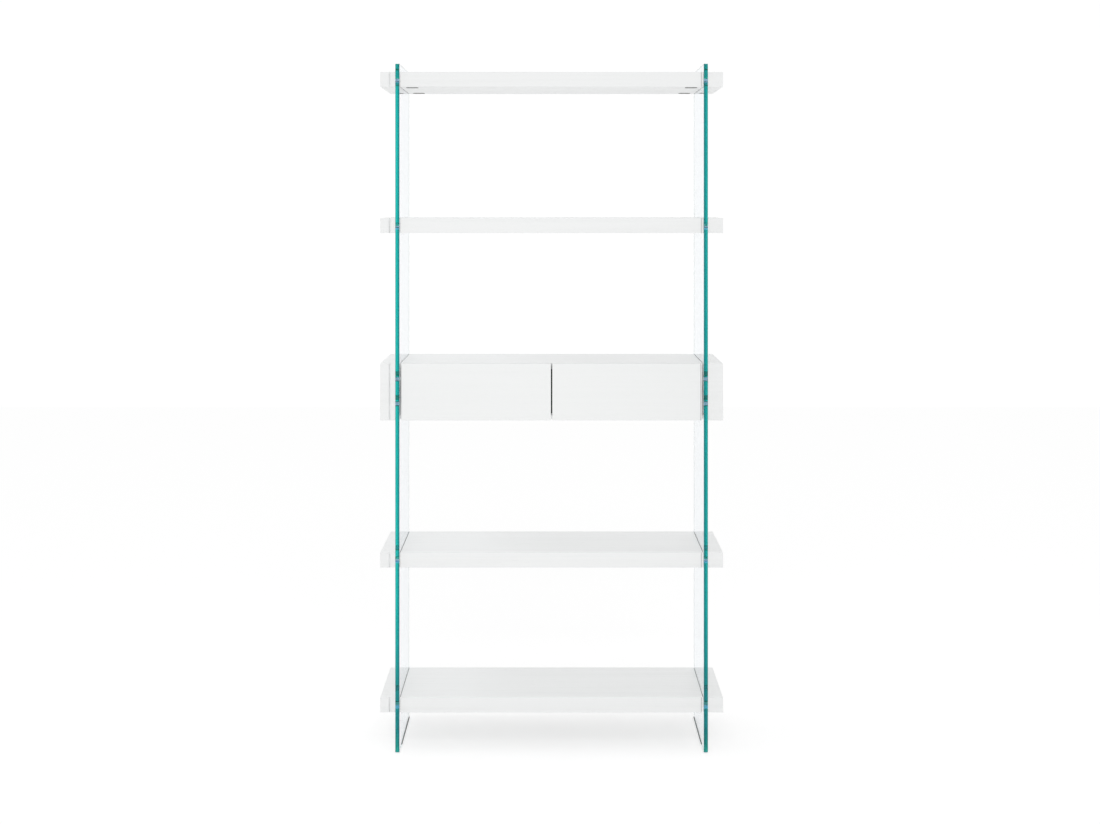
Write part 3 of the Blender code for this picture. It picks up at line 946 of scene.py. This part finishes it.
def make_shelves():
    for shelf in SHELVES:
        make_board(shelf)
        low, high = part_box(f"{shelf}_board")
        for side_name, side in SIDES.items():
            make_seals(f"{shelf}_seals_{side_name}", side, low, high)
            node = f"{shelf}_end_{side_name}"
            name = f"{shelf}_outer_{side_name}"
            make_end(name, side, *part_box(node), [shelf_axis(shelf)], node)


# The drawer unit


def make_unit_panel(part):
    """The unit's divider, whose front edge behind the drawers' gap is black, painted shade for that
    gap, or one of its sides.
    """
    low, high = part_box(f"cabinet_{part}")
    panel = mill(f"drawer_unit_{part}", low, high)
    ease(panel, EASED["panel"], 2)
    smooth_over(panel)

    def shaded_front_edge(face):
        return part == "divider" and face.center.y < low.y + EASED["panel"] + HAIR

    dress(panel, VENEER, RUBBER_AND_SHADE, which=shaded_front_edge)
    fit(panel, "frame", "white_veneer", f"cabinet_{part}")


def make_drawer_unit():
    low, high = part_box("cabinet_top")
    top = mill("drawer_unit_top", (-BOARD_END, low.y, low.z), (BOARD_END, high.y, high.z))
    ease(top, EASED["board"])
    cut(top, seal_seats(low, high))
    smooth_over(top)
    fit(dress(top, VENEER), "frame", "white_veneer", "cabinet_top")
    for side_name, side in SIDES.items():
        make_seals(f"drawer_unit_seals_{side_name}", side, low, high)
        # The CAD's end block reaches in as far as its bolts, so its width is a shelf end's.
        ends = zip(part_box(f"bottom_shelf_end_{side_name}"), (unit_low, unit_high))
        corners = [Vector((width.x, edge.y, edge.z)) for width, edge in ends]
        name = f"drawer_unit_outer_{side_name}"
        make_end(name, side, *corners, UNIT_BOLTS, f"cabinet_end_{side_name}")
    for part in ("divider", "side_left", "side_right"):
        make_unit_panel(part)
    finish_cad("cabinet_back", VENEER)
    floor = worked("cabinet_bottom", "drawer_unit_bottom")
    ease(floor, EASED["unit_floor"], 2, at_level(2, unit_low.z))
    smooth_over(floor)
    fit(dress(floor, VENEER), "frame", "white_veneer", "cabinet_bottom")


def make_box_panel(drawer, part):
    """A side or the back of a drawer, with its top edges rubbed down."""
    node = f"{drawer}_{part}"
    panel = worked(node, f"{drawer}_box_{part}")
    ease(panel, EASED["box"], 2, at_level(2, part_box(node)[1].z))
    smooth_over(panel)
    fit(dress(panel, FOIL), drawer, "white_veneer", node)


def punched_slot(size, low, high, y, z):
    """A cutter for a slot with round ends through a rail's web."""
    length, height = size
    slot = mill(
        "slot",
        (low.x - OVER, y - length / 2, z - height / 2),
        (high.x + OVER, y + length / 2, z + height / 2),
    )
    ease(slot, height * SLOT_ROUNDING, 5, runs_along(0))
    return slot


def make_middle_rail(drawer, side_name):
    """The middle rail, with the windows and holes that are punched in its web."""
    node = f"{drawer}_middle_rail_{side_name}"
    low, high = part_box(node)
    x, z = (low.x + high.x) / 2, (low.z + high.z) / 2
    rail = worked(node, f"{drawer}_sliding_rail_{side_name}")
    cut(rail, [punched_slot(WINDOW, low, high, low.y + at, z) for at in WINDOWS_AT])
    places = [(x, low.y + at, z) for at in PUNCHES_AT]
    cut(rail, [turn("punch", PUNCH, PUNCH_LENGTH, place, sides=20) for place in places])
    smooth_over(rail)
    fit(dress(rail, STEEL), f"{drawer}_slides", "zinc_steel", node)


def make_inner_rail(drawer, side_name, side):
    """The drawer's own rail, slotted for the pan head screws that hold it."""
    node = f"{drawer}_inner_rail_{side_name}"
    low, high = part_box(node)
    z = (low.z + high.z) / 2
    rail = worked(node, f"{drawer}_carrying_rail_{side_name}")
    cut(rail, [punched_slot(SLOT, low, high, low.y + at, z) for at in SCREWS_AT])
    smooth_over(rail)
    fit(dress(rail, STEEL), drawer, "zinc_steel", node)
    web = (low.x if side > 0 else high.x) + side * RAIL_SHEET
    heads = [screw_head(web, side, low.y + at, z) for at in SCREWS_AT]
    screws = join(f"{drawer}_rail_screws_{side_name}", heads)
    smooth_over(screws, SMOOTH_SMALL)
    fit(dress(screws, STEEL), drawer, "zinc_steel")


def screw_head(seat_x, side, y, z):
    """A pan head with a cross recess, on a face that looks towards side."""
    top = seat_x + side * SCREW_HEIGHT
    head = turn("head", SCREW_HEAD, SCREW_HEIGHT, ((seat_x + top) / 2, y, z))
    ease(head, EASED["screw"], 3, at_level(0, top))
    near, far = sorted((top - side * RECESS_DEPTH, top + side * RECESS_CLEAR))
    for half_y, half_z in (RECESS, RECESS[::-1]):
        cut(head, [mill("recess", (near, y - half_y, z - half_z), (far, y + half_y, z + half_z))])
    return head


def make_front(drawer):
    """A drawer front, bevelled behind its lower edge for the fingers and grooved for the bottom."""
    low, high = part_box(f"{drawer}_front")
    front = mill(f"{drawer}_face", low, high)
    at_back, at_bottom = at_level(1, high.y), at_level(2, low.z)
    grip = GRIP_SHARE * (high.y - low.y)
    ease(front, grip, 1, lambda edge: at_back(edge) and at_bottom(edge))
    ease(front, EASED["front"])
    floor_low, floor_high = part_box(f"{drawer}_bottom")
    groove_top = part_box(f"{drawer}_back")[0].z
    groove_high = Vector((floor_high.x + SEAT, floor_high.y, groove_top))
    cut(front, [mill("groove", floor_low - Vector((SEAT, SEAT, SEAT)), groove_high)])
    joint = high.x - FRONT_JOINT
    if high.x > 0:
        cut(front, [joint_line(joint, low, high)])
    smooth_over(front)

    # Its top face takes the darker finish, painted shade for the gap above it
    def which(face):
        return 2 if in_joint(face.center, joint, low) else face.center.z > high.z - SHADED_TOP_REACH

    dress(front, FRONT, SHADED_TOP_EDGE, CORE_AND_SHADE, which=which)
    fit(front, drawer, "white_front", f"{drawer}_front")


def make_drawers():
    for drawer in ("left_drawer", "right_drawer"):
        make_front(drawer)
        for part in ("side_left", "side_right", "back"):
            make_box_panel(drawer, part)
        finish_cad(f"{drawer}_bottom", PLY)
        for side_name, side in SIDES.items():
            finish_cad(f"{drawer}_outer_rail_{side_name}", STEEL)
            make_middle_rail(drawer, side_name)
            make_inner_rail(drawer, side_name, side)


# The studio

FLOOR_HALF = 9.0
FLOOR_TOP = -0.0002
FLOOR_THICKNESS = 0.02
FLOOR_LIT, FLOOR_SEEN, FLOOR_GLOW = 0.97, 0.56, 0.505
ROOM_LIGHT, ROOM_SEEN = 0.855, 1.02

# Place, aim, width and height, watts, spread in degrees
LAMPS = {
    "key": ((1.35, -1.95, 0.95), (-0.47, -0.16, 0.95), (0.25, 2.2), 0.42, 45),
    "fill": ((-1.35, -3.2, 1.15), (0.47, -0.16, 0.95), (1.4, 2.0), 0.32, 60),
    "side": ((-2.6, 0.0, 3.2), (-0.1, 0.0, 0.9), (0.9, 0.9), 1.3, 60),
    "overhead": ((0.0, -7.2, 6.6), (0.0, 0.0, 0.6), (4.0, 2.0), 86, 180),
}

# The camera stands level and square to the front
CAMERA_AT = (-0.0021, -5.5435, 1.5896)
CAMERA_SHIFT = (-0.0008, -0.1881)
LENS, SENSOR = 60.43, 36.0
SIGHT = 60  # metres


def make_floor():
    """A floor that is white to the eye and keeps the shadow that falls on it."""
    ground = Finish("studio_floor")
    lit = ground.add("ShaderNodeBsdfDiffuse", {}, {"Color": grey(FLOOR_LIT)})
    seen = ground.add("ShaderNodeBsdfDiffuse", {}, {"Color": grey(FLOOR_SEEN)})
    glow = ground.add("ShaderNodeEmission", {}, {"Color": WHITE, "Strength": FLOOR_GLOW})
    both = ground.add("ShaderNodeAddShader", {}, {0: seen, 1: glow})
    material = ground.done(ground.mix(ground.looked_at(), lit, both))
    floor = mill(
        "floor",
        (-FLOOR_HALF, -FLOOR_HALF, FLOOR_TOP - FLOOR_THICKNESS),
        (FLOOR_HALF, FLOOR_HALF, FLOOR_TOP),
    )
    dress(floor, material)


def light_room():
    """Even light from all around, in front of a backdrop that looks white."""
    room = Finish("studio", world=True)
    light = room.add("ShaderNodeBackground", {}, {"Color": WHITE, "Strength": ROOM_LIGHT})
    backdrop = room.add("ShaderNodeBackground", {}, {"Color": WHITE, "Strength": ROOM_SEEN})
    world = room.done(room.mix(room.looked_at(), light, backdrop))
    world.cycles.sampling_method = "NONE"
    bpy.context.scene.world = world


def hang_lamp(name, place, aim, size, watts, spread):
    light = bpy.data.lights.new(name, "AREA")
    light.shape, light.energy, light.spread = "RECTANGLE", watts, math.radians(spread)
    light.size, light.size_y = size
    lamp = bpy.data.objects.new(name, light)
    bpy.context.collection.objects.link(lamp)
    lamp.location = place
    lamp.rotation_euler = (Vector(aim) - Vector(place)).to_track_quat("-Z", "Y").to_euler()
    lamp.visible_camera = lamp.visible_glossy = lamp.visible_transmission = False


def make_camera():
    camera = bpy.data.cameras.new("camera")
    camera.lens, camera.sensor_width = LENS, SENSOR
    camera.shift_x, camera.shift_y = CAMERA_SHIFT
    camera.clip_end = SIGHT
    stand = bpy.data.objects.new("camera", camera)
    bpy.context.collection.objects.link(stand)
    stand.location = CAMERA_AT
    stand.rotation_euler = Euler((math.pi / 2, 0, 0))
    bpy.context.scene.camera = stand
    bpy.context.scene.view_settings.view_transform = "Standard"


for side_name, side in SIDES.items():
    make_glass_side(side_name, side)
    make_foot(side_name, side)
make_shelves()
make_drawer_unit()
make_drawers()
set_bolts()
make_floor()
light_room()
for name, lamp in LAMPS.items():
    hang_lamp(name, *lamp)
make_camera()
